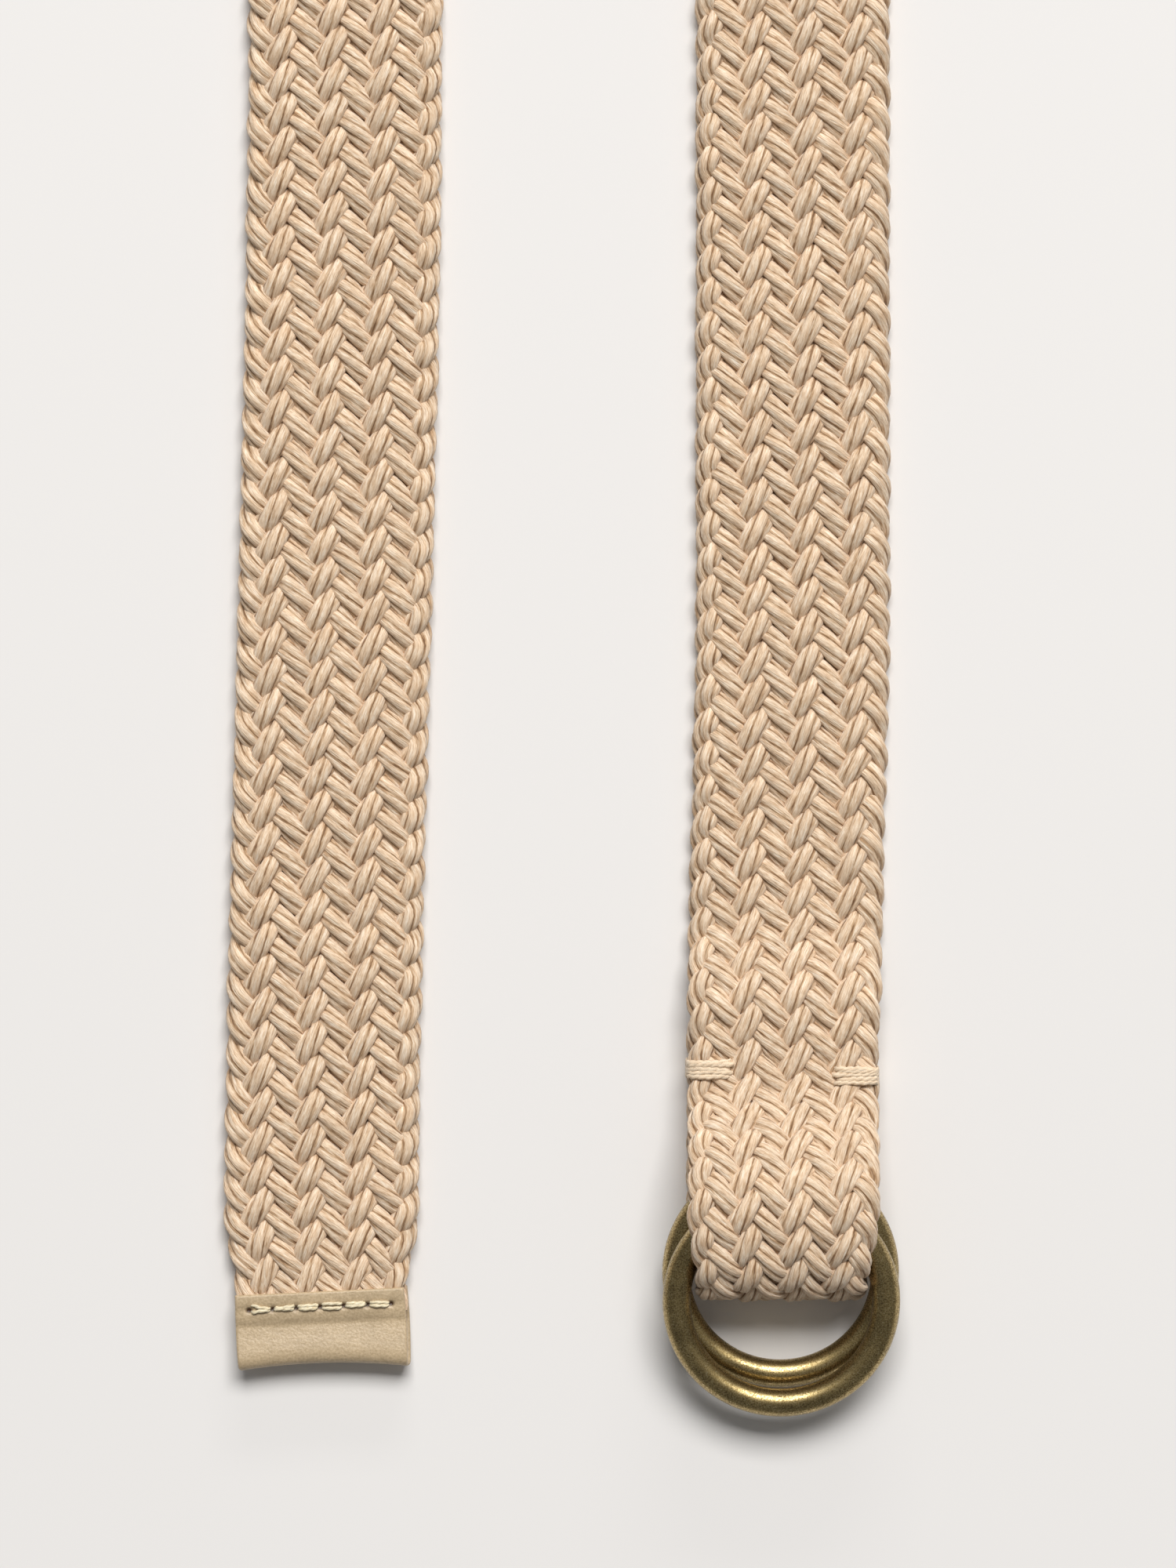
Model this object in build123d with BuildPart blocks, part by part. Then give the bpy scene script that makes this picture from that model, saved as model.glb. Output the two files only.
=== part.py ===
from build123d import *
import math
import os

# A braided cord belt with a double ring buckle, laid down folded in half.
# Millimetres, +Z up. The origin is on the surface under the middle of the belt.
# Both ends point along -Y. The tail leg is on the -X side, the buckle leg on the +X side.

# Braided strap
strap_width = 35.0
strap_thickness = 5.0
end_width = 29.4  # the braid is drawn in under the leather tip
end_thickness = 2.6

# Buckle rings: round wire rings for a strap of 32 to 35 mm
ring_bore = 32.3
wire = 5.0
ring_tilt = 10.0  # the free ends lie lower than the ends held in the loop
ring_offset = 4.8  # the back ring sits this much further into the loop
ring_gap = 0.2

# How the belt lies
leg_length = 470.0  # from the rings' centre line to the start of the turn
turn_radius = 40.1
turn_x = 1.5
flat_length = 250.0  # flat on its face up to here, then it starts to stand on edge
upright_length = 455.0  # stands on its edge from here
ring_x = 39.3
ring_y = -245.6
tail_end = -1.9  # the strap's end in the tip, along the leg from the rings' centre line
tail_lift = 0.38  # the leather under the strap's end raises it
tail_lift_length = 10.0
tip_mouth = 2.6  # the strap starts to widen here
tail_drift = -4.3  # the tail leg wanders this far sideways
tail_drift_length = 230.0
head_drift = -2.1
head_drift_length = 110.0
head_drift_start = 22.0
lift_start = 66.0  # the head strap starts to rise over its lapped end here
lift_length = 15.0
end_taper = 24.0  # length in which the tail widens from the tip
head_taper = 20.0
edge_margin = 0.3  # the braid is this much narrower where leather or thread holds it
leg_step = 12.0
head_step = 9.0
turn_step = 12  # degrees

# Folded loop that holds the rings; lengths run from the rings' centre line up the leg
layer = 4.2
fold_half_width = 14.9
mouth_half_width = 16.2
tack_half_width = 17.1
tack_shift = 0.3  # the strap's middle at the tacks, from the rings' middle
tack_line = 41.0
lap_end = 50.0
tack_lift = 0.7  # room for the thread under the strap
lap_foot = 35.0  # the lapped layer comes down from the tack's thread to the surface
flat_start = 30.0
tunnel_roof = 18.5  # highest place of the strap's middle over the rings
roof_line = 18.4
bend = 6.0  # where the fold's straight front starts to turn
front_low = 6.1
front_high = 12.5
bend_high = 16.1
roof_fall = 22.5
roof_fall_height = 17.2
loop_top_line = 36.5
loop_top = 7.25  # the strap's middle where both layers lie together
corner_low = 5.0
corner_high = 6.6  # the fold is narrower at its corners
cut_margin = 3.0
cut_height = 30.0

# Bar tacks
thread = 0.55
tack_pitch = 0.62
tack_threads = 5
tack_reach = 8.3
tack_top = 9.6
left_tack = 41.3
right_tack = 40.1

# Leather tip, folded round the tail's end
tip_width = 31.0
tip_length = 13.4
leather = 1.1
tip_x = -42.8
tip_y = ring_y - 5.3
tip_turn = 2.8
stitches = 6
stitch_length = 3.3
stitch_width = 0.8
stitch_height = 0.4
stitch_pitch = 4.25
stitch_row = 3.9  # from the tip's middle towards the strap
pocket_room = 0.16
fold_room = 0.1
crease_end = 0.2  # behind the crease the leather opens to hold the strap
crease_top = 1.8
hollow_end = 0.8
hollow_top = 2.1

os.makedirs("parts", exist_ok=True)

ring_radius = (ring_bore + wire) / 2
tilt = math.radians(ring_tilt)


def smooth(t):
    """0 before 0, 1 after 1, with a soft start and end."""
    t = min(max(t, 0.0), 1.0)
    return t * t * (3 - 2 * t)


def upright(run):
    """How far the strap has turned from lying flat towards standing on edge, in radians."""
    return math.pi / 2 * smooth((run - flat_length) / (upright_length - flat_length))


def leg_x(run, side):
    """Sideways place of a leg's centre line; side is -1 for the tail, 1 for the head."""
    if side < 0:
        return turn_x - turn_radius + tail_drift * smooth(1 - (run - tail_end) / tail_drift_length)
    drift = head_drift * smooth(1 - (run - head_drift_start) / head_drift_length)
    return turn_x + turn_radius + drift


def lift(run, side):
    """Extra height: the head strap lies on its lapped end, the tail's end on leather."""
    if side < 0:
        return tail_lift * smooth((tip_mouth + tail_lift_length - run) / tail_lift_length)
    return (layer + tack_lift) * smooth((lift_start - run) / lift_length)


def section(run, side):
    """The plane across the strap; its X runs from the outer edge to the inner edge."""
    angle = upright(run)
    half_width, half_thickness = strap_width / 2, strap_thickness / 2
    height = half_width * math.sin(angle) + half_thickness * math.cos(angle)
    return Plane(
        origin=(leg_x(run, side), ring_y + run, height + lift(run, side)),
        x_dir=(-side * math.cos(angle), 0, math.sin(angle)),
        z_dir=(0, 1, 0),
    )


def turn_section(angle):
    """A plane across the strap in the turn; angle runs from the tail leg at 0 to 180."""
    a = math.radians(angle)
    return Plane(
        origin=(
            turn_x - turn_radius * math.cos(a),
            ring_y + leg_length + turn_radius * math.sin(a),
            strap_width / 2,
        ),
        x_dir=(0, 0, 1),
        z_dir=(math.sin(a), math.cos(a), 0),
    )


def strap_profiles(side, first, last, step, from_width, from_thickness, full):
    """(plane, width, thickness) along a leg, from a narrowed end to the full width."""
    count = round((last - first) / step)
    for i in range(count + 1):
        run = first + (last - first) * i / count
        share = smooth((run - first) / full)
        width = from_width + (strap_width - from_width) * share
        thickness = from_thickness + (strap_thickness - from_thickness) * share
        yield section(run, side), width, thickness


# --- Braided strap, one closed solid from the leather tip to the bar tacks ---
tail_tip = (section(tail_end, -1), end_width, end_thickness)
tail = list(
    strap_profiles(-1, tip_mouth, leg_length, leg_step, end_width, end_thickness, end_taper)
)
turn = [
    (turn_section(a), strap_width, strap_thickness) for a in range(turn_step, 180, turn_step)
]
tacked_width = 2 * (tack_half_width - edge_margin)
head = list(
    strap_profiles(1, tack_line, leg_length, head_step, tacked_width, layer, head_taper)
)
with BuildPart() as strap:
    for plane, width, thickness in [tail_tip] + tail + turn + head[::-1]:
        with BuildSketch(plane):
            Rectangle(width, thickness)
    loft(ruled=True)
strap.part.label = "strap"
export_step(strap.part, "parts/strap.step")


# --- Folded end of the strap: over the rings, round, back under, lapped at the tacks ---
def loop_line():
    """Centre line of the folded layer in side view: along the leg, and up."""
    half = layer / 2
    Polyline(
        (lap_end, tack_lift + half),
        (lap_foot, tack_lift + half),
        (flat_start, half),
        (bend, half),
        (half, front_low),
        (half, front_high),
        (bend, bend_high),
        (roof_line, tunnel_roof),
        (roof_fall, roof_fall_height),
        (loop_top_line, loop_top),
        (tack_line, loop_top),
    )


loop_plane = Plane(origin=(ring_x, ring_y, 0), x_dir=(0, 1, 0), z_dir=(1, 0, 0))
with BuildPart() as strap_loop:
    with BuildSketch(loop_plane):
        with BuildLine():
            loop_line()
        trace(line_width=layer)
    extrude(amount=strap_width / 2 + cut_margin, both=True)
    with BuildSketch(Plane(origin=(ring_x, ring_y, 0))):
        with BuildLine():
            Polyline(
                (-fold_half_width, -cut_margin),
                (-fold_half_width, corner_low),
                (-mouth_half_width, corner_high),
                (tack_shift - tack_half_width, tack_line),
                (tack_shift - tack_half_width, lap_end + cut_margin),
                (tack_shift + tack_half_width, lap_end + cut_margin),
                (tack_shift + tack_half_width, tack_line),
                (mouth_half_width, corner_high),
                (fold_half_width, corner_low),
                (fold_half_width, -cut_margin),
                close=True,
            )
        make_face()
    extrude(amount=cut_height, mode=Mode.INTERSECT)
strap_loop.part.label = "strap_loop"
export_step(strap_loop.part, "parts/strap_loop.step")


# --- Buckle rings ---
def ring_plane(origin):
    """The plane of a tilted ring, with its free end lower."""
    return Plane(
        origin=origin, x_dir=(1, 0, 0), z_dir=(0, -math.sin(tilt), math.cos(tilt))
    )


back_height = wire / 2 + ring_radius * math.sin(tilt)
apart = wire + ring_gap
slid = (ring_offset - apart * math.sin(tilt)) / math.cos(tilt)
front_height = back_height - slid * math.sin(tilt) + apart * math.cos(tilt)

with BuildPart(ring_plane((ring_x, ring_y + ring_offset, back_height))) as ring_back:
    Torus(ring_radius, wire / 2)
ring_back.part.label = "ring_back"
export_step(ring_back.part, "parts/ring_back.step")

with BuildPart(ring_plane((ring_x, ring_y, front_height))) as ring_front:
    Torus(ring_radius, wire / 2)
ring_front.part.label = "ring_front"
export_step(ring_front.part, "parts/ring_front.step")


# --- Bar tacks: threads round the strap's edge, holding both layers together ---
def bar_tack(name, side, along):
    """Five threads, each over the top, round the edge and back underneath."""
    edge = tack_half_width
    inner = edge - tack_reach
    with BuildPart() as tack:
        for i in range(tack_threads):
            across = along + (i - (tack_threads - 1) / 2) * tack_pitch
            profile = Plane(
                origin=(ring_x + tack_shift, ring_y + across, 0),
                x_dir=(side, 0, 0),
                z_dir=(0, -side, 0),
            )
            with BuildSketch(profile):
                with BuildLine():
                    Polyline(
                        (inner, tack_lift - thread),
                        (edge + thread, tack_lift - thread),
                        (edge + thread, tack_top + thread),
                        (inner, tack_top + thread),
                        (inner, tack_top),
                        (edge, tack_top),
                        (edge, tack_lift),
                        (inner, tack_lift),
                        close=True,
                    )
                make_face()
            extrude(amount=thread / 2, both=True)
    tack.part.label = name
    export_step(tack.part, "parts/" + name + ".step")


bar_tack("bar_tack_left", -1, left_tack)
bar_tack("bar_tack_right", 1, right_tack)


# --- Leather tip: one piece folded at the end, open towards the strap ---
tip_base = stitch_height
pocket = end_thickness + pocket_room
fold_height = 2 * leather + fold_room
turn_along = math.radians(tip_turn)
tip_across = (math.cos(turn_along), math.sin(turn_along), 0)
tip_along = (-math.sin(turn_along), math.cos(turn_along), 0)
top_height = tip_base + 2 * leather + pocket
half_tip = tip_length / 2

with BuildPart() as tip:
    side_view = Plane(origin=(tip_x, tip_y, tip_base), x_dir=tip_along, z_dir=tip_across)
    with BuildSketch(side_view):
        with BuildLine():
            Line((half_tip, 0), (-half_tip + leather, 0))
            ThreePointArc(
                (-half_tip + leather, 0),
                (-half_tip, fold_height / 2),
                (-half_tip + leather, fold_height),
            )
            Polyline(
                (-half_tip + leather, fold_height),
                (crease_end, fold_height),
                (crease_top, 2 * leather + pocket),
                (half_tip, 2 * leather + pocket),
                (half_tip, leather + pocket),
                (hollow_top, leather + pocket),
                (hollow_end, leather),
                (half_tip, leather),
                (half_tip, 0),
            )
        make_face()
    extrude(amount=tip_width / 2, both=True)
tip.part.label = "tip"
export_step(tip.part, "parts/tip.step")


# --- Stitches through the tip, on the front and on the back ---
with BuildPart() as tip_stitching:
    for height in (0, top_height):
        seat = Plane(origin=(tip_x, tip_y, height), x_dir=tip_across, z_dir=(0, 0, 1))
        with BuildSketch(seat):
            with Locations((0, stitch_row)):
                with GridLocations(stitch_pitch, 1, stitches, 1):
                    SlotOverall(stitch_length, stitch_width)
        extrude(amount=stitch_height)
tip_stitching.part.label = "tip_stitching"
export_step(tip_stitching.part, "parts/tip_stitching.step")
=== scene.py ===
import math

import bpy
import numpy as np
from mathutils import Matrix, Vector


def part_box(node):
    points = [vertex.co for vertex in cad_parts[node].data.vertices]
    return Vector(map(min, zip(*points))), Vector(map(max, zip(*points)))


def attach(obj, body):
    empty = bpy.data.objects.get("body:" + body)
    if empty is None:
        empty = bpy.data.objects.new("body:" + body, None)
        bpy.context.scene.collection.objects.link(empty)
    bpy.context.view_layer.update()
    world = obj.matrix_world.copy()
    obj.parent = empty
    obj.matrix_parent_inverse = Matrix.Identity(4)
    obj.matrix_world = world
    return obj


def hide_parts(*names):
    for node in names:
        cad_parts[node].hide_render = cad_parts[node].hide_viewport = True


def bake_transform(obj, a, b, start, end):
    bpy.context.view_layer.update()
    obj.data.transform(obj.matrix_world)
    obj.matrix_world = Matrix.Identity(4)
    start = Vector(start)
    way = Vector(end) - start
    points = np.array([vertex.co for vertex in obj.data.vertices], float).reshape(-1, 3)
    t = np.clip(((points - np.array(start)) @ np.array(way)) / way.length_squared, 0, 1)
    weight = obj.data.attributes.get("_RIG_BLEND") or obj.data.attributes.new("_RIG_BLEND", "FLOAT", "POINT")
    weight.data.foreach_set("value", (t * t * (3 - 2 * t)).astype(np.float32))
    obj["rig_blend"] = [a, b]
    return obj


# A braided cord belt with two brass rings, laid down folded in half.
# Shapes are worked out in millimetres in the row frame; meshes are made in metres.

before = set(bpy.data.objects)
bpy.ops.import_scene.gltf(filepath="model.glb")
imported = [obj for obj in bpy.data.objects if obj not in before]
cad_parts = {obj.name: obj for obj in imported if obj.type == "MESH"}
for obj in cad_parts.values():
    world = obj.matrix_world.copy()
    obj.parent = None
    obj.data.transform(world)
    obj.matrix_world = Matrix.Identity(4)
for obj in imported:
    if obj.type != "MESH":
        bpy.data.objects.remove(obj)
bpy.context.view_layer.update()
MM = 0.001


def node_box(name):
    """A CAD node's lowest and highest corners, in millimetres."""
    low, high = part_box(name)
    return np.array(low) / MM, np.array(high) / MM


ring_low, ring_high = node_box("ring_front")
RING_X, RING_Y, _ = (ring_low + ring_high) / 2

# --- How the belt lies, nearly as in the CAD model ---------------------------------------
# Distances up a leg are counted from the middle of the rings.
STRAP_WIDTH = 35.0
STRAP_THICKNESS = 5.0
LEG_LENGTH = 470.0
TURN_RADIUS = 40.1
TURN_X = 1.5
FLAT_LENGTH = 250.0  # up to here a leg lies flat
UPRIGHT_LENGTH = 455.0  # from here it stands on its edge
TAIL_END = -1.9
TAIL_LIFT = 0.38  # the tail rises into the leather tip
TAIL_LIFT_END = 12.6
TAIL_LIFT_LENGTH = 10.0
TAIL_DRIFT = -4.3  # the legs' ends lie to the left of the turn's sides
TAIL_DRIFT_LENGTH = 230.0
HEAD_DRIFT = -2.1
HEAD_DRIFT_LENGTH = 110.0
HEAD_DRIFT_START = 22.0
TACK_LINE = 41.0
LAP_END = 50.0  # where the strap's raw end lies, under the leg
LAYER = 4.2
TACK_LIFT = 0.7
LIFT_START = 68.0
LIFT_LENGTH = 17.0
LOOP_SHIFT_START = 5.0  # from here up, the loop moves from the rings' middle to the tacks'
LOOP_SHIFT_LENGTH = 30.0
STEP = 0.25  # between samples of the strap's line
CURVE_SAMPLES = 40  # between two points of a smooth line


def smooth(t):
    """0 before 0, 1 after 1, with a soft start and end."""
    t = np.clip(t, 0.0, 1.0)
    return t * t * (3 - 2 * t)


def unit(vectors):
    """The vectors' directions."""
    return vectors / np.linalg.norm(vectors, axis=-1)[..., None]


def leg_x(run, side):
    """Sideways place of a leg's centre line; side is -1 for the tail, 1 for the head."""
    if side < 0:
        drift = TAIL_DRIFT * smooth(1 - (run - TAIL_END) / TAIL_DRIFT_LENGTH)
        return TURN_X - TURN_RADIUS + drift
    drift = HEAD_DRIFT * smooth(1 - (run - HEAD_DRIFT_START) / HEAD_DRIFT_LENGTH)
    return TURN_X + TURN_RADIUS + drift


def leg(run, side):
    """Centre line and across direction of a leg."""
    turned = math.pi / 2 * smooth((run - FLAT_LENGTH) / (UPRIGHT_LENGTH - FLAT_LENGTH))
    height = STRAP_WIDTH / 2 * np.sin(turned) + STRAP_THICKNESS / 2 * np.cos(turned)
    if side > 0:
        height = height + (LAYER + TACK_LIFT) * smooth((LIFT_START - run) / LIFT_LENGTH)
    else:
        height = height + TAIL_LIFT * smooth((TAIL_LIFT_END - run) / TAIL_LIFT_LENGTH)
    centre = np.stack([leg_x(run, side), RING_Y + run, height], 1)
    across = np.stack([-side * np.cos(turned), 0 * run, np.sin(turned)], 1)
    return centre, across


def evenly(line, step):
    """The same line with its samples evenly spaced."""
    at = np.concatenate([[0], np.cumsum(np.linalg.norm(np.diff(line, axis=0), axis=1))])
    new = np.linspace(0, at[-1], max(2, round(at[-1] / step)))
    return np.stack([np.interp(new, at, line[:, k]) for k in range(line.shape[1])], 1)


def between(a, b, c, d, t):
    """Share t of the way from b to c, on a smooth line through a, b, c and d (Catmull-Rom)."""
    square = (2 * a - 5 * b + 4 * c - d) * t * t
    return 0.5 * (2 * b + (c - a) * t + square + (3 * b - a - 3 * c + d) * t**3)


def curve_through(points, step):
    """A smooth line through points, as evenly spaced samples."""
    points = np.array(points, float)
    before, after = 2 * points[0] - points[1], 2 * points[-1] - points[-2]
    padded = np.vstack([before, points, after])
    samples = []
    for a, b, c, d in zip(padded, padded[1:], padded[2:], padded[3:]):
        for t in np.linspace(0, 1, CURVE_SAMPLES, endpoint=False):
            samples.append(between(a, b, c, d, t))
    samples.append(points[-1])
    return evenly(np.array(samples), step)


# The folded end in side view, from the tack line over the rings, round and back under:
# distance up the leg from the rings' centre line, and height.
FOLD_LINE = [
    (TACK_LINE, 7.4),
    (37.0, 7.9),
    (31.5, 11.0),
    (25.5, 15.6),
    (18.6, 18.4),
    (11.0, 17.7),
    (5.6, 15.6),
    (2.6, 11.8),
    (2.3, 7.6),
    (4.2, 3.8),
    (8.5, 2.4),
    (20.0, 2.3),
    (30.0, 2.5),
    (37.0, 2.8),
    (LAP_END, 2.9),
]


def turn_line():
    """The turn at the far end, standing on the strap's edge."""
    a = np.arange(0, math.pi, STEP / TURN_RADIUS)
    x = TURN_X - TURN_RADIUS * np.cos(a)
    y = RING_Y + LEG_LENGTH + TURN_RADIUS * np.sin(a)
    line = np.stack([x, y, np.full(len(a), STRAP_WIDTH / 2)], 1)
    return line, np.tile([0.0, 0.0, 1.0], (len(a), 1))


def fold_line():
    """The folded end, over the rings and back under."""
    side_view = curve_through(FOLD_LINE, STEP)
    at_tacks = leg_x(np.array([TACK_LINE]), 1)[0]
    shifted = smooth((side_view[:, 0] - LOOP_SHIFT_START) / LOOP_SHIFT_LENGTH)
    x = RING_X + (at_tacks - RING_X) * shifted
    line = np.stack([x, RING_Y + side_view[:, 0], side_view[:, 1]], 1)
    return line, np.tile([-1.0, 0.0, 0.0], (len(line), 1))


stretches = [
    leg(np.arange(TAIL_END, LEG_LENGTH, STEP), -1),
    turn_line(),
    leg(np.arange(LEG_LENGTH, TACK_LINE, -STEP), 1),
    fold_line(),
]
centre = np.vstack([line for line, _ in stretches])
across = np.vstack([way for _, way in stretches])
along = np.concatenate([[0], np.cumsum(np.linalg.norm(np.diff(centre, axis=0), axis=1))])
fold_start = len(centre) - len(stretches[-1][0])
tack_at = along[fold_start]
tangent = unit(np.gradient(centre, along, axis=0))
across = unit(across - (across * tangent).sum(1)[:, None] * tangent)
normal = np.cross(across, tangent)


def fold_place(distance, under=False):
    """Place along the strap where the fold crosses this distance from the rings' line."""
    inside = centre[fold_start:, 1] - RING_Y < distance
    if under:
        return along[len(centre) - 1 - int(np.argmax(inside[::-1]))]
    return along[fold_start + int(np.argmax(inside))]


# --- Braid ---------------------------------------------------------------------------
CORDS = 15
COLUMN = 2.28  # from one crossing column to the next
ROW = 2.97  # along the strap from one crossing to the next
CORD_WIDTH = 4.25
CORD_THICKNESS = 3.15
RISE = 1.0  # a crossing cord's middle lies this far above or below the strap's middle
EDGE_ROUND = 0.72  # how softly a cord turns back at the strap's edge, in columns
# Which way the cord on top runs in each crossing column, from the outer edge
LEFTWARD = [1, 0, 0, 1, 1, 0, 0, 1, 1, 0, 0, 1, 1, 0]
PERIOD = 2 * CORDS  # stages of a cord's zigzag
PLIES = 5
SIDES = 25
RING_STEP = 0.7
PLY_DEPTH = 0.19
TWIST = math.radians(54)  # from one crossing to the next
FIBRE_TWIST = 0.12  # 0 along the plies, 1 along the cord
GRAIN_APART = 37.0  # from one cord's texture to the next
LAST_COLUMN = CORDS - 1
# Seeds of the cords' unevenness
ROW_SEED, SIDE_SEED, HEIGHT_SEED, TWIST_SEED, PLUMP_SEED = 7, 50, 90, 130, 170

# --- Where the strap is narrower or thinner: shares of its size, and lengths along it -----
TIP_NARROW, TIP_NARROW_START, TIP_NARROW_LENGTH = 0.125, 3.0, 14.0
TIP_THIN, TIP_THIN_START = 0.45, 2.0
TACKS_NARROW, TACKS_NARROW_LENGTH = 0.023, 18.0
FOLD_NARROW, FOLD_NARROW_START, FOLD_NARROW_END = 0.115, 16.0, 30.0
FOLD_THIN = 0.13
TAPER = 14.0
CORD_NARROWS = 0.4  # this share of the strap's narrowing is the cords'


def edge_bend(x):
    """Distance from the edge of a cord that turns back there softly."""
    return np.cbrt(x**3 + EDGE_ROUND**3)


def column_of(u):
    """Place across the braid, 0 to LAST_COLUMN, of a cord at stage u of its zigzag."""
    u = np.mod(u + 0.5, PERIOD) - 0.5
    right = LAST_COLUMN + 0.5
    near_right = np.abs(u - right)
    near_left = np.minimum(np.abs(u + 0.5), np.abs(u - (PERIOD - 0.5)))
    from_right = right - edge_bend(near_right)
    return np.where(near_right < near_left, from_right, edge_bend(near_left) - 0.5)


def crossing_heights():
    """1 over, -1 under, 0 at the turns, at u = 0.5, 1.5, ..."""
    heights = np.zeros(PERIOD)
    for k in range(LAST_COLUMN):
        heights[k] = -1 if LEFTWARD[k] else 1
        heights[PERIOD - 2 - k] = 1 if LEFTWARD[k] else -1
    return heights


HEIGHTS = crossing_heights()


def height_of(u):
    """Smooth height through the crossings, about 1 on top and -1 below."""
    x = u - 0.5
    i = np.floor(x).astype(int)
    t = x - i
    a, b, c, d = (HEIGHTS[np.mod(i + k, PERIOD)] for k in (-1, 0, 1, 2))
    return between(a, b, c, d, t)


def width_share(s):
    """How much of its full width the strap has at s."""
    at_tip = 1 - TIP_NARROW * smooth(1 - (s - TIP_NARROW_START) / TIP_NARROW_LENGTH)
    from_tacks = smooth((s - tack_at + TACKS_NARROW_LENGTH) / TACKS_NARROW_LENGTH)
    into_fold = smooth((s - fold_place(FOLD_NARROW_START)) / TAPER)
    out_of_fold = smooth((along[-1] - FOLD_NARROW_END - s) / TAPER)
    in_fold = 1 - FOLD_NARROW * (into_fold * out_of_fold)
    return at_tip * (1 - TACKS_NARROW * from_tacks) * in_fold


def thickness_share(s):
    """How much of its full thickness the strap has at s."""
    at_tip = 1 - TIP_THIN * smooth(1 - (s - TIP_THIN_START) / TAPER)
    pressed = 1 - FOLD_THIN * smooth((s - tack_at + TAPER) / TAPER)
    return at_tip * pressed


def wander(s, seed, size, length):
    """A slow smooth random wave along s."""
    r = np.random.default_rng(seed)
    value = 0 * s
    for k in range(1, 5):
        value = value + r.normal() / k * np.sin(2 * math.pi * (s / length * k * 0.7 + r.random()))
    return size * value


def tube(line, hint, angle, radius, half_width, half_height):
    """Points round a line, ring by ring; the tube's height lies near the hint direction."""
    way = unit(np.gradient(line, axis=0))
    up = unit(hint - (hint * way).sum(1)[:, None] * way)
    side = np.cross(way, up)
    out = radius * np.cos(angle) * half_width
    high = radius * np.sin(angle) * half_height
    return line[:, None, :] + side[:, None, :] * out[..., None] + up[:, None, :] * high[..., None]


def grain_of(line, angle, radius, start, size):
    """Texture place round a tube: along it, and two directions across, in millimetres."""
    arc = start + np.concatenate([[0], np.cumsum(np.linalg.norm(np.diff(line, axis=0), axis=1))])
    arc = np.broadcast_to(arc[:, None], radius.shape)
    return np.stack([arc, size * radius * np.cos(angle), size * radius * np.sin(angle)], 2)


def groove(angle, count):
    """0 on the crests of a tube of this many round strands, 1 in the grooves between them."""
    half = math.pi / count
    from_crest = np.mod(angle + half, 2 * half) - half
    return (1 - np.cos(from_crest)) / (1 - math.cos(half))


def normals_of(points):
    """Outward directions of a tube's surface, so that its cut pieces meet unseen."""
    round_tube = np.roll(points, -1, axis=1) - np.roll(points, 1, axis=1)
    return unit(np.cross(round_tube, np.gradient(points, axis=0)))


def cord_tube(c, s):
    """One cord of the braid at each s: points, texture place, painted shade for its grooves and where it
    runs underneath, and normals.
    """
    u = (s + wander(s, ROW_SEED, size=0.45, length=80)) / ROW + 2 * c
    w = COLUMN * (column_of(u) - LAST_COLUMN / 2) * width_share(s)
    w = w + wander(s, SIDE_SEED + c, size=0.08, length=40)
    lift = RISE * height_of(u) * thickness_share(s)
    lift = lift + wander(s, HEIGHT_SEED + c, size=0.03, length=30)
    place, sideways, up = (
        np.stack([np.interp(s, along, v[:, k]) for k in range(3)], 1)
        for v in (centre, across, normal)
    )
    line = place + sideways * w[:, None] + up * lift[:, None]
    turn = TWIST * u + wander(s, TWIST_SEED + c, size=0.22, length=50)
    inside = np.linspace(0, 2 * math.pi, SIDES, endpoint=False)[None, :] + 0 * turn[:, None]
    angle = inside + turn[:, None]
    ply_groove = groove(inside + math.pi / PLIES, PLIES)
    radius = 1 - PLY_DEPTH * ply_groove
    plump = 1 + wander(s, PLUMP_SEED + c, size=0.022, length=25)
    half_width = CORD_WIDTH / 2 * plump * (1 - CORD_NARROWS + CORD_NARROWS * width_share(s))
    half_height = CORD_THICKNESS / 2 * plump * thickness_share(s)
    points = tube(line, up, angle, radius, half_width[:, None], half_height[:, None])
    fibre_angle = inside + FIBRE_TWIST * turn[:, None]
    grain = grain_of(line, fibre_angle, radius, GRAIN_APART * c, CORD_WIDTH / 2)
    top = smooth(0.5 + 0.5 * height_of(u))[:, None]
    # painted shade: darker in the grooves between plies and where the cord runs under others
    shade = (1 - ply_groove) * (0.4 + 0.6 * top)  # darker where the cord runs underneath
    return points, grain, shade, normals_of(points)


# --- Meshes ------------------------------------------------------------------------------
def ring_faces(rings, sides, first, closed):
    """Quads between neighbouring rings of vertices; closed also joins the last to the first."""
    i = np.arange(rings if closed else rings - 1)[:, None] * sides
    j = np.arange(sides)[None, :]
    k = (j + 1) % sides
    after = (i + sides) % (rings * sides)
    return np.stack([i + j, i + k, after + k, after + j], 2).reshape(-1, 4) + first


def end_faces(rings, sides, first):
    """The two flat ends of a tube."""
    last = first + (rings - 1) * sides
    return [list(range(first + sides - 1, first - 1, -1)), list(range(last, last + sides))]


def mesh_piece(name, verts, faces, material, smooth_count):
    """A mesh object from vertices in millimetres; the faces after smooth_count stay flat."""
    mesh = bpy.data.meshes.new(name)
    mesh.from_pydata((np.asarray(verts) * MM).tolist(), [], faces)
    mesh.polygons.foreach_set("use_smooth", [i < smooth_count for i in range(len(faces))])
    mesh.update()
    mesh.materials.append(material)
    piece = bpy.data.objects.new(name, mesh)
    bpy.context.scene.collection.objects.link(piece)
    return piece


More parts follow.
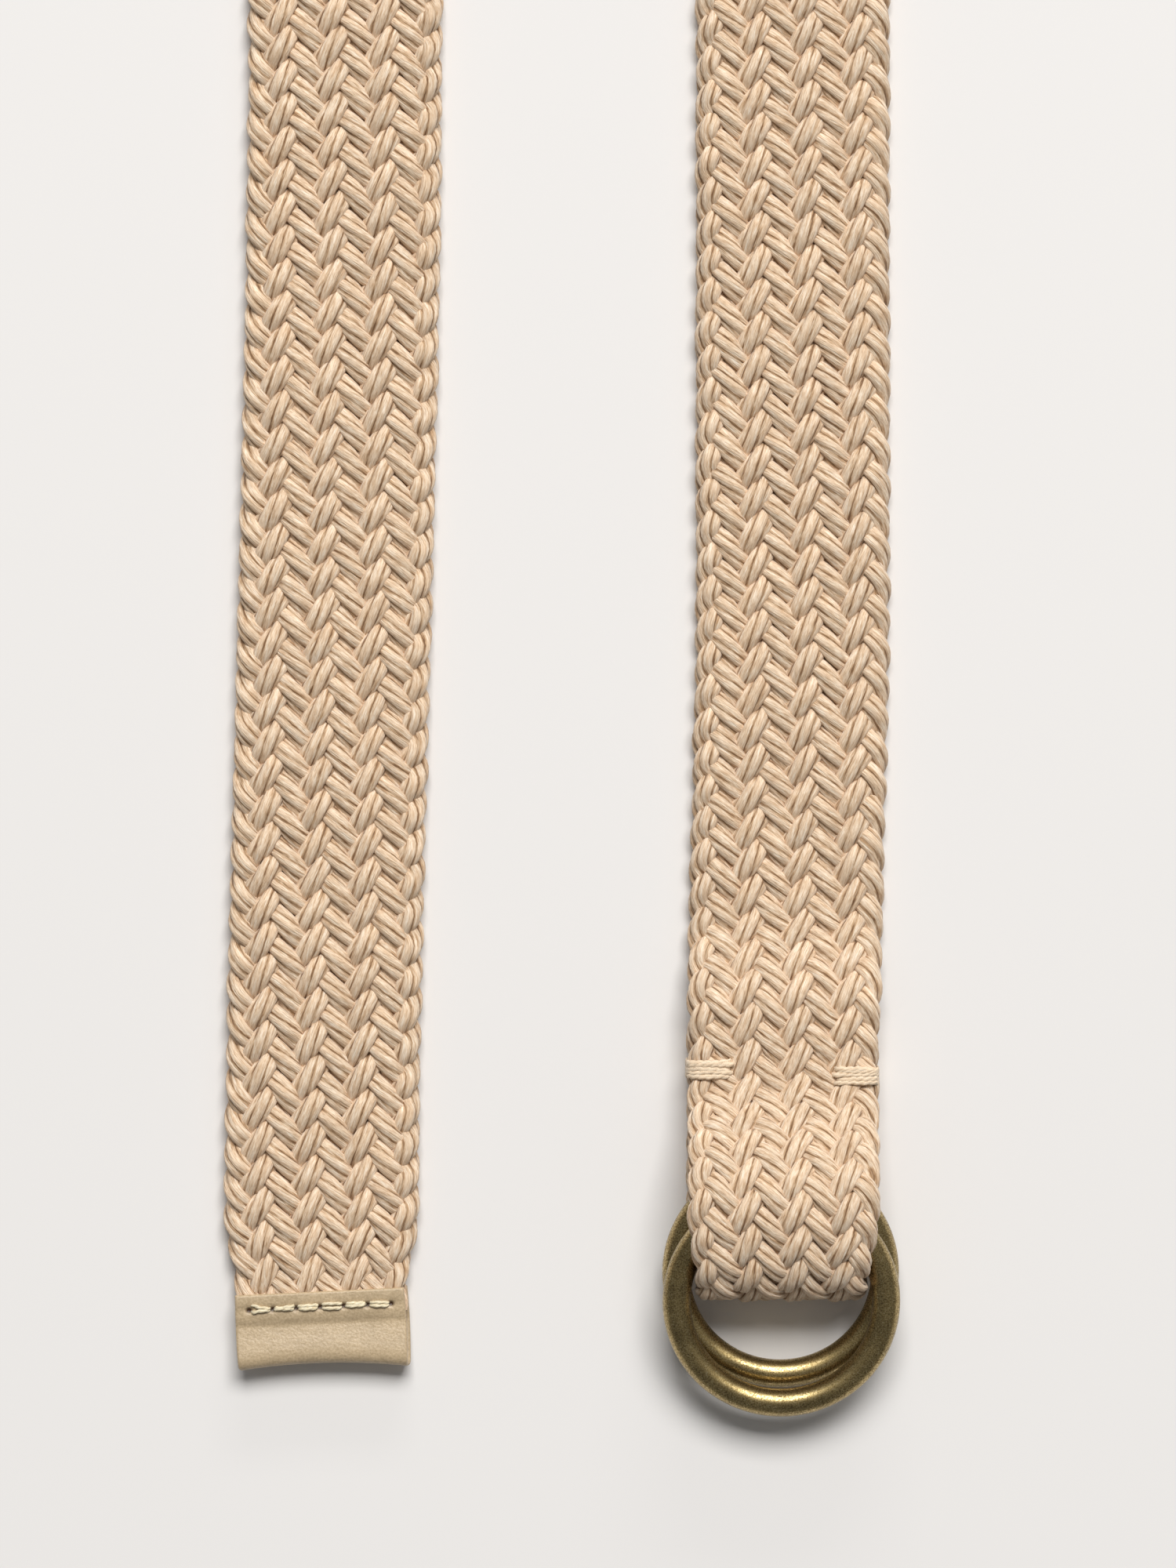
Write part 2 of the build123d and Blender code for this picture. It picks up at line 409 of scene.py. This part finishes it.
def tube_piece(name, tubes, material, closed=False):
    """Tubes as one piece; each is (points, texture place, shade, normals), ring by ring."""
    first, quads, caps = 0, [], []
    for points, *_ in tubes:
        rings, sides = points.shape[:2]
        quads.append(ring_faces(rings, sides, first, closed))
        if not closed:
            caps += end_faces(rings, sides, first)
        first += rings * sides
    verts, grain = (np.vstack([t[k].reshape(-1, 3) for t in tubes]) for k in (0, 1))
    shade = np.concatenate([t[2].reshape(-1) for t in tubes])
    quads = np.vstack(quads).tolist()
    piece = mesh_piece(name, verts, quads + caps, material, len(quads))
    attributes = piece.data.attributes
    attributes.new("grain", "FLOAT_VECTOR", "POINT").data.foreach_set("vector", grain.ravel())
    attributes.new("shade", "FLOAT", "POINT").data.foreach_set("value", shade)
    if len(tubes[0]) > 3:
        normals = np.vstack([t[3].reshape(-1, 3) for t in tubes])
        piece.data.normals_split_custom_set_from_vertices(normals.tolist())
    return piece


def rows_of(tubes, low, high):
    """The same tubes from one ring of points to another."""
    return [tuple(values[low : high + 1] for values in t) for t in tubes]


# --- Materials -------------------------------------------------------------------------
class Nodes:
    """Short calls to build a material's node tree."""

    def __init__(self, name):
        self.material = bpy.data.materials.new(name)
        self.material.use_nodes = True
        self.tree = self.material.node_tree
        self.shader = self.tree.nodes["Principled BSDF"]

    def add(self, kind, **settings):
        node = self.tree.nodes.new("ShaderNode" + kind)
        for key, value in settings.items():
            setattr(node, key, value)
        return node

    def put(self, socket, value):
        """A link from another node, or the value itself."""
        if isinstance(value, bpy.types.NodeSocket):
            self.tree.links.new(value, socket)
        else:
            socket.default_value = value

    def attribute(self, name, output):
        return self.add("Attribute", attribute_name=name).outputs[output]

    def noise(self, vector, scales, detail=3.0, rough=0.55):
        """Noise with its own number of waves per millimetre in each direction."""
        stretch = self.add("Mapping")
        self.put(stretch.inputs["Vector"], vector)
        stretch.inputs["Scale"].default_value = scales
        node = self.add("TexNoise")
        self.put(node.inputs["Vector"], stretch.outputs["Vector"])
        node.inputs["Scale"].default_value = 1.0
        node.inputs["Detail"].default_value = detail
        node.inputs["Roughness"].default_value = rough
        return node.outputs["Fac"]

    def ramp(self, value, stops):
        """Colours by value, each stop a place and a colour."""
        node = self.add("ValToRGB")
        self.put(node.inputs["Fac"], value)
        elements = node.color_ramp.elements
        while len(elements) < len(stops):
            elements.new(0.5)
        for element, (place, colour) in zip(elements, stops):
            element.position = place
            element.color = (*colour, 1)
        return node.outputs["Color"]

    def greys(self, value, stops):
        """As ramp, with a grey for each colour."""
        return self.ramp(value, [(place, (grey, grey, grey)) for place, grey in stops])

    def mix(self, share, a, b, blend):
        """Two colours mixed; inputs 6 and 7 and output 2 are the Mix node's colours."""
        node = self.add("Mix", data_type="RGBA", blend_type=blend)
        self.put(node.inputs[0], share)
        self.put(node.inputs[6], a)
        self.put(node.inputs[7], b)
        return node.outputs[2]

    def math(self, operation, a, b):
        node = self.add("Math", operation=operation)
        self.put(node.inputs[0], a)
        self.put(node.inputs[1], b)
        return node.outputs[0]

    def bump(self, height, strength, distance):
        node = self.add("Bump")
        self.put(node.inputs["Height"], height)
        node.inputs["Strength"].default_value = strength
        node.inputs["Distance"].default_value = distance * MM
        self.put(self.shader.inputs["Normal"], node.outputs["Normal"])

    def finish(self, colour, **values):
        """Sets the colour and the shader's other inputs, and gives the material."""
        self.put(self.shader.inputs["Base Color"], colour)
        for key, value in values.items():
            self.put(self.shader.inputs[key.replace("_", " ")], value)
        return self.material


def cotton(name, dark, middle, light, contrast, relief, rough):
    """Plied cotton: fibres along the plies, painted shade in the grooves and where a cord runs underneath,
    each place a little different.
    """
    n = Nodes(name)
    grain = n.attribute("grain", "Vector")
    shade = n.attribute("shade", "Fac")
    strands = n.noise(grain, (0.45, 2.6, 2.6), 3.0, 0.6)
    fibres = n.noise(grain, (0.8, 5.5, 5.5), 3.0, 0.65)
    cloud = n.noise(grain, (0.25, 0.25, 0.25), 2.0)
    tone = n.ramp(strands, [(0.25, dark), (0.45, middle), (0.70, light)])
    # fibre streaks: partly the fibres' own tone, partly painted shade between them and painted highlight on
    # them
    between_fibres = (1 - 0.7 * contrast, 1 - contrast, 1 - 1.3 * contrast)
    fine = n.ramp(fibres, [(0.34, between_fibres), (0.62, (1.06, 1.06, 1.06))])
    tone = n.mix(1.0, tone, fine, "MULTIPLY")
    ragged = n.math("SUBTRACT", strands, 0.5)
    # painted shade from the shade attribute: dark in the grooves between plies and where a cord runs under
    # others
    grooves = n.ramp(
        n.math("ADD", shade, ragged),
        [
            (0.0, (0.30, 0.22, 0.15)),
            (0.22, (0.72, 0.63, 0.53)),
            (0.58, (1, 1, 1)),
        ],
    )
    tone = n.mix(1.0, tone, grooves, "MULTIPLY")
    tone = n.mix(1.0, tone, n.greys(cloud, [(0.35, 0.92), (0.65, 1.05)]), "MULTIPLY")
    n.bump(n.math("ADD", strands, n.math("MULTIPLY", fibres, 0.8)), 1.0, relief)
    return n.finish(
        tone, Roughness=rough, Specular_IOR_Level=0.3, Sheen_Weight=0.25, Sheen_Roughness=0.5
    )


def antique_brass():
    """Dark olive brass with fine speckled patina, worn bright on the high spots."""
    n = Nodes("antique_brass")
    grain = n.attribute("grain", "Vector")
    speckle = n.noise(grain, (3.8, 3.8, 3.8), 4.0, 0.65)
    patches = n.noise(grain, (0.22, 0.22, 0.22), 2.0)
    tone = n.ramp(
        speckle,
        [
            (0.34, (0.10, 0.070, 0.031)),
            (0.45, (0.29, 0.210, 0.086)),
            (0.58, (0.51, 0.39, 0.18)),
            (0.74, (0.82, 0.71, 0.46)),
        ],
    )
    tone = n.mix(1.0, tone, n.greys(patches, [(0.35, 0.82), (0.65, 1.12)]), "MULTIPLY")
    rough = n.greys(speckle, [(0.38, 0.45), (0.62, 0.30)])
    n.bump(speckle, 0.15, 0.05)
    return n.finish(tone, Metallic=1.0, Roughness=rough, Coat_Weight=0.15, Coat_Roughness=0.2)


def tan_leather():
    """Smooth khaki leather with a fine pebbled grain, with painted shade inside the stitch holes."""
    n = Nodes("tan_leather")
    grain = n.attribute("grain", "Vector")
    pebbles = n.noise(grain, (2.3, 2.3, 2.3), 3.0, 0.55)
    wrinkles = n.noise(grain, (0.18, 0.5, 0.5), 2.0)
    cloud = n.noise(grain, (0.14, 0.14, 0.14), 2.0)
    tone = n.ramp(pebbles, [(0.32, (0.46, 0.345, 0.205)), (0.68, (0.61, 0.47, 0.295))])
    tone = n.mix(1.0, tone, n.greys(cloud, [(0.35, 0.94), (0.65, 1.05)]), "MULTIPLY")
    # painted shade: near black inside the stitch holes
    holes = n.ramp(n.attribute("shade", "Fac"), [(0.25, (0.10, 0.055, 0.03)), (0.85, (1, 1, 1))])
    tone = n.mix(1.0, tone, holes, "MULTIPLY")
    n.bump(n.math("ADD", pebbles, n.math("MULTIPLY", wrinkles, 1.2)), 0.8, 0.11)
    return n.finish(tone, Roughness=0.41)


# --- Pieces ------------------------------------------------------------------------------
def spot(distance, height):
    """A point in metres over the middle of the rings, this far up the leg from their line."""
    return (RING_X * MM, (RING_Y + distance) * MM, height * MM)


def strap_cords(tubes, material, tack_row):
    """Fifteen cords from the leather tip to the bar tacks."""
    for c, cord in enumerate(rows_of(tubes, 0, tack_row)):
        piece = tube_piece(f"cord_{c + 1:02d}", [cord], material)
        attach(piece, "belt")
        if c == 0:
            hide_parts("strap")


def folded_loop(tubes, material, grid, tack_row):
    """The folded end, cut across where it passes from one body's motion to the next."""
    places = [fold_place(21), fold_place(8.3), fold_place(10, under=True)]
    over, front, under = (int(np.searchsorted(grid, p)) for p in places)
    last = len(grid) - 1
    both_rings = ("back_ring", "front_ring")
    parts = [
        ("loop_top", (tack_row, over), ("belt", "back_ring"), spot(38, 0), spot(23, 0)),
        ("loop_over", (over, front), both_rings, spot(19, 0), spot(11, 0)),
        ("loop_front", (front, under), both_rings, spot(0, 5), spot(0, 14)),
        ("loop_under", (under, last), ("back_ring", "belt"), spot(22, 0), spot(38, 0)),
    ]
    for name, rows, bodies, start, end in parts:
        piece = tube_piece(name, rows_of(tubes, *rows), material)
        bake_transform(piece, *bodies, start, end)
        if name == "loop_top":
            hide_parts("strap_loop")


RING_TILT = math.radians(10)
WIRE = 5.0
RING_STEPS = 192
WIRE_SIDES = 40


def wire_ring(name, node, body, material):
    """A ring of round wire, its free end lower."""
    low, high = node_box(node)
    radius = (high[0] - low[0] - WIRE) / 2
    turns = np.linspace(0, 2 * math.pi, RING_STEPS, endpoint=False)
    level, steep = math.cos(RING_TILT), math.sin(RING_TILT)
    spokes = np.stack([np.cos(turns), np.sin(turns) * level, np.sin(turns) * steep], 1)
    axis = np.array([0, -steep, level])
    round_wire = np.linspace(0, 2 * math.pi, WIRE_SIDES, endpoint=False)
    reach = radius + WIRE / 2 * np.cos(round_wire)
    lift = WIRE / 2 * np.sin(round_wire)
    local = spokes[:, None, :] * reach[None, :, None] + axis * lift[None, :, None]
    points = local + (low + high) / 2
    grain = local + 10 * low  # so that the two rings look different
    piece = tube_piece(name, [(points, grain, np.ones(points.shape[:2]))], material, closed=True)
    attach(piece, body)
    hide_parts(node)


tip_low, tip_high = node_box("tip")
TIP_CENTRE = (tip_low + tip_high) / 2
TIP_TURN = math.radians(2.8)
TIP_ACROSS = np.array([math.cos(TIP_TURN), math.sin(TIP_TURN), 0.0])
TIP_ALONG = np.array([-math.sin(TIP_TURN), math.cos(TIP_TURN), 0.0])
UP = np.array([0.0, 0.0, 1.0])
TIP_WIDTH = 30.6
TIP_HALF_LENGTH = 6.7
TIP_SAMPLE = 0.05  # between samples of the leather's side view
LEATHER = 1.1
TIP_HOLLOW = 1.0  # the folded end is pulled in at its middle
TIP_BULGE = 0.012  # the tip is this much wider at its middle than at its ends
TIP_STRETCH = 0.07  # the fold end is a little longer, and longer still on the right
TIP_SKEW = 0.045
BACK_SHIFT = 0.5  # the back layer shows past the front one
FOLD_LIFT = 1.5  # the folded end stands a little off the surface
STITCHES = 6
STITCH_PITCH = 4.25
STITCH_ROW = 3.9
HOLE = 0.6  # radius of a stitch hole
HOLE_SQUASH = 1.25  # a hole is this much wider than long
HOLE_DENT = 0.5
ROW_DENT, ROW_DENT_WIDTH = 0.16, 0.9  # the stitches pull the leather in along their row
EDGE_ROUNDING = 0.45
MOUTH_ROUNDING = 0.4
FOLD_STARTS, FOLD_REACH, FOLD_RISE = 1.5, 7.0, 8.0
BACK_TOP, BACK_BLEND = 2.8, 1.6  # the leather below this height is the back layer
# The leather's middle in side view, from the back layer's mouth round the fold to the
# front layer's mouth: distance towards the strap from the tip's middle, and height.
TIP_LINE = [
    (6.6, 0.55),
    (2.0, 0.55),
    (-3.0, 0.55),
    (-5.0, 0.62),
    (-5.95, 1.05),
    (-6.25, 1.95),
    (-6.0, 2.8),
    (-5.1, 3.35),
    (-3.0, 3.62),
    (-0.5, 3.78),
    (0.7, 3.80),
    (1.3, 3.90),
    (2.2, 4.14),
    (3.9, 4.38),
    (5.4, 4.42),
    (6.6, 4.36),
]


def on_tip(across_tip, along_tip, height):
    """Points given across the tip, along it towards the strap, and up."""
    return across_tip * TIP_ACROSS + along_tip * TIP_ALONG + height * UP


def rounded_span(length, step, radius):
    """Places from one end to the other, and a share that rounds off both ends."""
    corner = np.linspace(math.pi / 2, 0, 6)
    inner = np.arange(radius, length - radius, step)[1:]
    first = radius * (1 - np.sin(corner))
    places = np.concatenate([first, inner, (length - first)[::-1]])
    share = np.concatenate([np.cos(corner), np.ones(len(inner)), np.cos(corner)[::-1]])
    return places, share


def hole_depth(x, a):
    """1 in the middle of a stitch hole, 0 away from them."""
    k = np.clip(np.round(x / STITCH_PITCH), -STITCHES / 2, STITCHES / 2)
    apart = np.hypot(x - k * STITCH_PITCH, HOLE_SQUASH * (a - STITCH_ROW))
    return np.exp(-((apart / HOLE) ** 2))


def leather_tip(material):
    """One piece of leather folded round the strap's end."""
    step = 0.2
    line = curve_through(TIP_LINE, TIP_SAMPLE)
    length = TIP_SAMPLE * (len(line) - 1)
    at, end_share = rounded_span(length, step, MOUTH_ROUNDING)
    x, side_share = rounded_span(TIP_WIDTH, step, EDGE_ROUNDING)
    x = x - TIP_WIDTH / 2
    steps = np.linspace(0, length, len(line))
    a, h = (np.interp(at, steps, line[:, k])[:, None] for k in (0, 1))
    way = unit(np.gradient(np.hstack([a, h]), axis=0))
    out_a, out_h = -way[:, 1:], way[:, :1]
    half = LEATHER / 2 * end_share[:, None] * side_share[None, :]
    back = smooth((BACK_TOP - h) / BACK_BLEND)
    layers = []
    for face in (1, -1):
        hole = hole_depth(x[None, :], a)
        dent = HOLE_DENT * hole + ROW_DENT * np.exp(-(((a - STITCH_ROW) / ROW_DENT_WIDTH) ** 2))
        height = h + face * out_h * (half - (dent if face > 0 else 0))
        reach = a + face * out_a * half
        far = smooth((FOLD_STARTS - a) / FOLD_REACH)
        reach = reach * (1 + far * (TIP_STRETCH + TIP_SKEW * 2 * x / TIP_WIDTH))
        reach = reach + far * TIP_HOLLOW * (1 - (2 * x / TIP_WIDTH) ** 2)
        wide = x[None, :] * (1 - TIP_BULGE * (a / TIP_HALF_LENGTH) ** 2) + BACK_SHIFT * back
        lifted = height + FOLD_LIFT * smooth((FOLD_STARTS - a) / FOLD_RISE)
        points = on_tip(wide[..., None], reach[..., None], lifted[..., None])
        # the front face carries the painted shade of the stitch holes
        layers.append((points, 1 - hole if face > 0 else np.ones_like(hole)))
    (outer, outer_shade), (inner, inner_shade) = layers
    local = np.concatenate([outer, inner[:, -2:0:-1]], 1)
    shade = np.concatenate([outer_shade, inner_shade[:, -2:0:-1]], 1)
    base = np.array([TIP_CENTRE[0], TIP_CENTRE[1], tip_low[2]])
    piece = tube_piece("leather_tip", [(local + base, local, shade)], material)
    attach(piece, "belt")
    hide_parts("tip")


THREAD_TURN = 2.2  # twist of a thread, in radians for each millimetre
THREAD_CREST = 0.28
THREAD_GRAIN = 1.2


def thread(line, hint, width, height, seed):
    """A two-ply thread along a line, with painted shade in the groove between its plies."""
    sides = 12
    r = np.random.default_rng(seed)
    inside = np.linspace(0, 2 * math.pi, sides, endpoint=False)[None, :]
    steps = np.linalg.norm(np.gradient(line, axis=0), axis=1)
    turn = THREAD_TURN * np.cumsum(steps)[:, None] + 6 * r.random()
    crest = np.abs(np.cos(inside)) + 0 * turn
    radius = 1 - THREAD_CREST + THREAD_CREST * crest
    angle = inside + turn
    points = tube(line, hint, angle, radius, width / 2, height / 2)
    grain = grain_of(line, angle, radius, 100 * r.random(), THREAD_GRAIN)
    # painted shade: darker in the groove between the two plies
    return points, grain, 0.45 + 0.55 * crest


FRONT_STITCHES, BACK_STITCHES = 5.24, 0.42  # about the heights of the leather's faces
STITCH_END = 0.42  # a strand ends up to this far from the middle of its hole
ARCH_RISE, ARCH_SINK = 0.85, 0.62  # a stitch's middle stands up, its ends go into the holes
BACK_ARCH = 0.55  # the back stitches are flatter
STRAND_HEIGHT = 0.56
STRANDS_APART = 0.27  # of a stitch's two strands from the row's middle
STRANDS_MEET = 0.35  # they come this much closer at the stitch's ends
FIRST_SPLAY = 0.35  # the first stitch's strands part at its end


def tip_stitches(material):
    """Six stitches on the front and six on the back, two strands each."""
    strands = []
    for face, surface in ((1, FRONT_STITCHES), (-1, BACK_STITCHES)):
        for k in range(STITCHES):
            for strand in (-1, 1):
                r = np.random.default_rng(1000 + 50 * k + 5 * face + strand)
                t = np.linspace(-1, 1, 14)
                splay = FIRST_SPLAY if k == 0 else 0.0
                start = (k - STITCHES / 2 + 0.5) * STITCH_PITCH
                x = start + (STITCH_PITCH / 2 - STITCH_END + 0.2 * r.random()) * t
                apart = STRANDS_APART + splay * smooth(-t)
                a = STITCH_ROW + strand * apart * (1 - STRANDS_MEET * t**4)
                a = a + 0.14 * r.normal() * t + 0.09 * r.normal()
                arch = (1 - t**6) * ARCH_RISE - ARCH_SINK
                z = surface + face * arch * (1.0 if face > 0 else BACK_ARCH)
                line = on_tip(x[:, None], a[:, None], z[:, None])
                line = line + np.array([TIP_CENTRE[0], TIP_CENTRE[1], 0.0])
                width = 0.62 + 0.30 * r.random()
                outward = np.tile(face * UP, (len(t), 1))
                strands.append(thread(line, outward, width, STRAND_HEIGHT, 7 * k + strand + 1))
    piece = tube_piece("tip_stitches", strands, material)
    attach(piece, "belt")
    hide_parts("tip_stitching")


TACK_THREADS = 5
TACK_CORNER = 1.6
TACK_INSET = 0.7  # the threads pull the strap's edge in a little
TACK_TOP_INSIDE, TACK_FOOT_INSIDE = 0.25, 0.28  # the threads' middles, inside the CAD tack
TACK_THREAD_HEIGHT = 0.60
TACK_STEP = 0.35


def bar_tack(name, node, side, material):
    """Threads over the top, round the strap's edge and back underneath."""
    low, high = node_box(node)
    edge, inner = (high[0], low[0]) if side > 0 else (low[0], high[0])
    edge = edge - side * TACK_INSET
    top, foot = high[2] - TACK_TOP_INSIDE, low[2] + TACK_FOOT_INSIDE
    threads = []
    for i in range(TACK_THREADS):
        r = np.random.default_rng(400 + 10 * i + side)
        share = (i + 0.5) / TACK_THREADS - 0.5
        y = (low[1] + high[1]) / 2 + share * (high[1] - low[1]) + 0.12 * r.normal()
        start = inner + side * (1.2 * r.random() - 0.3)
        bend = TACK_CORNER * side
        path = [
            (start, top - 1.5),
            (start + side * 0.5, top - 0.35),
            (start + side * 2.2, top),
            (edge - bend * 1.6, top - 0.05),
            (edge - bend * 0.5, top - 0.7),
            (edge, top - 2.2),
            (edge, foot + 2.2),
            (edge - bend * 0.6, foot + 0.5),
            (edge - bend * 1.6, foot),
            (inner, foot),
        ]
        side_view = curve_through(path, TACK_STEP)
        run = np.arange(len(side_view)) * TACK_STEP
        sway = y + wander(run, 600 + 10 * i + side, size=0.10, length=9)
        sway = sway + 0.3 * share * np.cos(run / 3)
        line = np.stack([side_view[:, 0], sway, side_view[:, 1]], 1)
        outward = np.cross(np.gradient(line, axis=0), [0.0, -side, 0.0])
        width = 0.95 + 0.35 * r.random()
        threads.append(thread(line, outward, width, TACK_THREAD_HEIGHT, 40 + i))
    piece = tube_piece(name, threads, material)
    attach(piece, "belt")
    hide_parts(node)


cotton_cord = cotton(
    "cotton_cord",
    dark=(0.67, 0.48, 0.315),
    middle=(0.88, 0.685, 0.487),
    light=(1.0, 0.875, 0.715),
    contrast=0.36,
    relief=0.20,
    rough=0.75,
)
sewing_cotton = cotton(
    "sewing_cotton",
    dark=(0.66, 0.48, 0.30),
    middle=(0.90, 0.71, 0.50),
    light=(1.0, 0.87, 0.68),
    contrast=0.15,
    relief=0.06,
    rough=0.5,
)
tip_thread = cotton(
    "tip_thread",
    dark=(0.60, 0.45, 0.22),
    middle=(0.90, 0.79, 0.53),
    light=(1.0, 0.96, 0.78),
    contrast=0.18,
    relief=0.05,
    rough=0.34,
)
brass = antique_brass()

grid = np.arange(0, along[-1], RING_STEP)
braid = [cord_tube(c, grid) for c in range(CORDS)]
tack_row = int(np.searchsorted(grid, tack_at))
strap_cords(braid, cotton_cord, tack_row)
folded_loop(braid, cotton_cord, grid, tack_row)
wire_ring("back_ring_wire", "ring_back", "back_ring", brass)
wire_ring("front_ring_wire", "ring_front", "front_ring", brass)
leather_tip(tan_leather())
tip_stitches(tip_thread)
bar_tack("bar_tack_threads_left", "bar_tack_left", -1, sewing_cotton)
bar_tack("bar_tack_threads_right", "bar_tack_right", 1, sewing_cotton)


# --- Floor, lights, camera ---------------------------------------------------------------
FLOOR_SIZE = 3000.0
LAMP_COLOUR = (1.0, 0.985, 0.975)


def pale_floor():
    """The plain surface that the belt lies on."""
    n = Nodes("floor")
    material = n.finish((0.86, 0.845, 0.825, 1), Roughness=0.9)
    signs = [(-1, -1), (1, -1), (1, 1), (-1, 1)]
    corners = [(x * FLOOR_SIZE, y * FLOOR_SIZE, 0) for x, y in signs]
    mesh_piece("floor", corners, [[0, 1, 2, 3]], material, 0)


def area_light(name, place, target, size, power, colour):
    """A rectangular lamp, in metres and watts, turned towards the target."""
    light = bpy.data.lights.new(name, "AREA")
    light.shape = "RECTANGLE"
    light.size, light.size_y = size
    light.energy = power
    light.color = colour
    lamp = bpy.data.objects.new(name, light)
    lamp.location = place
    lamp.rotation_mode = "QUATERNION"
    lamp.rotation_quaternion = (Vector(target) - Vector(place)).to_track_quat("-Z", "Y")
    bpy.context.scene.collection.objects.link(lamp)


VIEW_X, VIEW_Y = 4.9 * MM, -153.6 * MM
VIEW_HEIGHT = 0.28
CAMERA_DISTANCE = 1.1
SENSOR = 36.0
STRAP_TOP = 0.006  # the frame's size is right at about this height


def studio():
    """Soft even surroundings, a soft key light from beyond the turn and a weak fill."""
    world = bpy.data.worlds.new("studio")
    bpy.context.scene.world = world
    world.use_nodes = True
    background = world.node_tree.nodes["Background"]
    background.inputs["Color"].default_value = (0.98, 0.985, 0.99, 1)
    background.inputs["Strength"].default_value = 0.16
    middle = (VIEW_X, VIEW_Y, 0)
    area_light("key", (0.713, 3.455, 4.92), middle, (4.08, 2.64), 408.0, LAMP_COLOUR)
    area_light("low_light", (0.237, 1.932, 0.672), middle, (1.12, 0.24), 7.7, LAMP_COLOUR)


def top_camera():
    """Straight down, as in the photograph."""
    data = bpy.data.cameras.new("camera")
    camera = bpy.data.objects.new("camera", data)
    bpy.context.scene.collection.objects.link(camera)
    bpy.context.scene.camera = camera
    data.sensor_width = SENSOR
    data.lens = SENSOR * CAMERA_DISTANCE / VIEW_HEIGHT
    camera.location = (VIEW_X, VIEW_Y, CAMERA_DISTANCE + STRAP_TOP)
    data.clip_start, data.clip_end = 0.05, 10


pale_floor()
studio()
top_camera()
bpy.context.scene.view_settings.view_transform = "Standard"
